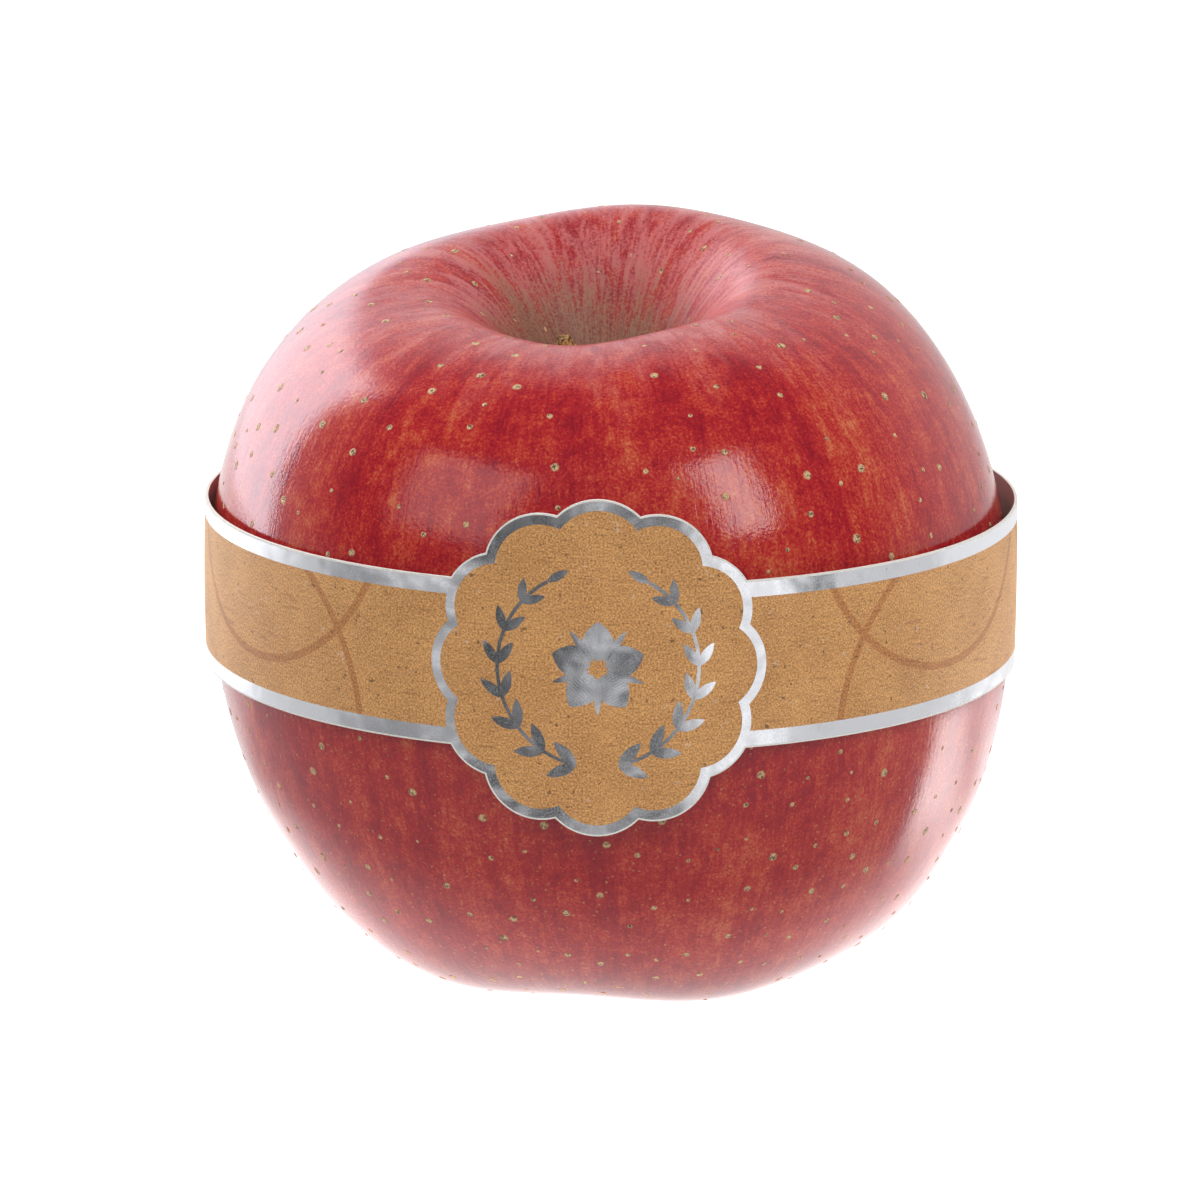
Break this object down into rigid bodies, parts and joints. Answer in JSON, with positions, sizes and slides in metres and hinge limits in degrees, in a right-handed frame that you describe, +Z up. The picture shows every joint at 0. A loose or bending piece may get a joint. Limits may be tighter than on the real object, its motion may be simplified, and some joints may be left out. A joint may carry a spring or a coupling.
{
  "type": "red apple",
  "caption": "Large red apple standing on its base, with a trimmed stem and a kraft paper band that widens into a scalloped badge at the front.",
  "frame": {"origin": "on the surface the apple stands on, below the middle of the apple and its band", "axes": "+Z up along the fruit from calyx to stem, -Y towards the badge, +X to the right as the badge is seen"},
  "size_m": [0.0974, 0.0977, 0.0875],
  "materials": {
    "skin": "waxy satin fruit skin, red streaks over orange",
    "stalk": "dry woody stalk with a rough cut end",
    "sepals": "dry brown sepals",
    "kraft_paper": "matte printed kraft paper with silver foil edges"
  },
  "bodies": {
    "root": {"apple": "skin", "stem": "stalk", "calyx": "sepals", "paper_band": "kraft_paper"}
  },
  "joints": []
}
